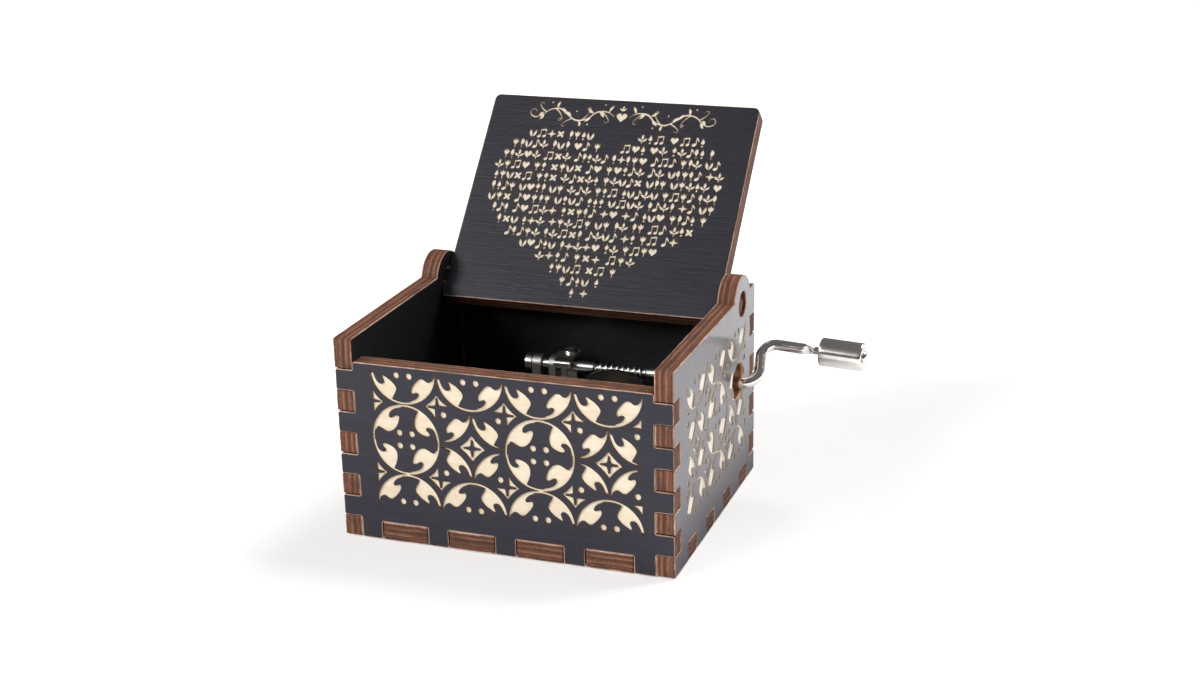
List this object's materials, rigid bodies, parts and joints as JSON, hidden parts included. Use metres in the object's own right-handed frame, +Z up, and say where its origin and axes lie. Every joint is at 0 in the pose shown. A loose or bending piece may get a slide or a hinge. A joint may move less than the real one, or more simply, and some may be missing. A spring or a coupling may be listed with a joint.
{
  "type": "music box",
  "caption": "Small hand-cranked music box: dark laser-cut plywood case, hinged lid, comb-and-drum movement driven by a worm and a bent-rod crank.",
  "frame": {"origin": "centre of the underside of the case", "axes": "+Z up, +X to the right towards the crank, +Y to the back; the case stands on its underside"},
  "size_m": [0.0874, 0.0728, 0.0687],
  "materials": {
    "plywood": "black-stained laser-cut plywood with brown edges",
    "cast_bed": "die-cast, satin",
    "comb_steel": "ground",
    "lead": "dull",
    "screw_steel": "nickel plated",
    "brass": "satin",
    "pin_steel": "bright",
    "black_plastic": "moulded",
    "shaft_steel": "turned, bright",
    "nickel_sheet": "nickel plated sheet",
    "nickel": "polished nickel plate"
  },
  "bodies": {
    "case": {"front_panel": "plywood", "back_panel": "plywood", "left_panel": "plywood", "right_panel": "plywood", "bottom_panel": "plywood", "bedplate": "cast_bed", "comb": "comb_steel", "comb_weights": "lead", "comb_screws": "screw_steel", "arbor_bracket": "nickel_sheet", "arbor_bracket_screw": "screw_steel", "bearing_cap": "nickel_sheet", "bearing_cap_screw": "screw_steel", "movement_screws": "screw_steel"},
    "lid": {"lid": "plywood"},
    "drum": {"drum": "brass", "drum_pins": "pin_steel", "drum_end_cap": "black_plastic", "drum_gear": "black_plastic", "drum_arbor": "shaft_steel"},
    "crank": {"worm_shaft": "shaft_steel", "shaft_collar": "shaft_steel", "crank_arm": "nickel", "knob_rivet": "nickel"},
    "knob": {"crank_knob": "nickel"}
  },
  "joints": [
    {"name": "lid_hinge", "type": "hinge", "parent": "case", "child": "lid", "pos_m": [0, 0.0173, 0.037], "axis": [1, 0, 0], "range_deg": [0, 133.8]},
    {"name": "crank_spin", "type": "hinge", "parent": "case", "child": "crank", "pos_m": [0, 0.0146, 0.0222], "axis": [1, 0, 0], "continuous": true},
    {"name": "drum_spin", "type": "hinge", "parent": "case", "child": "drum", "pos_m": [0.0078, 0, 0.0134], "axis": [0, 1, 0], "continuous": true},
    {"name": "knob_spin", "type": "hinge", "parent": "crank", "child": "knob", "pos_m": [0.0504, 0.02133, 0.02736], "axis": [0.9983, -0.0457, -0.035], "continuous": true}
  ],
  "couplings": [
    {"joint": "drum_spin", "follows": "crank_spin", "ratio": -0.02381}
  ]
}
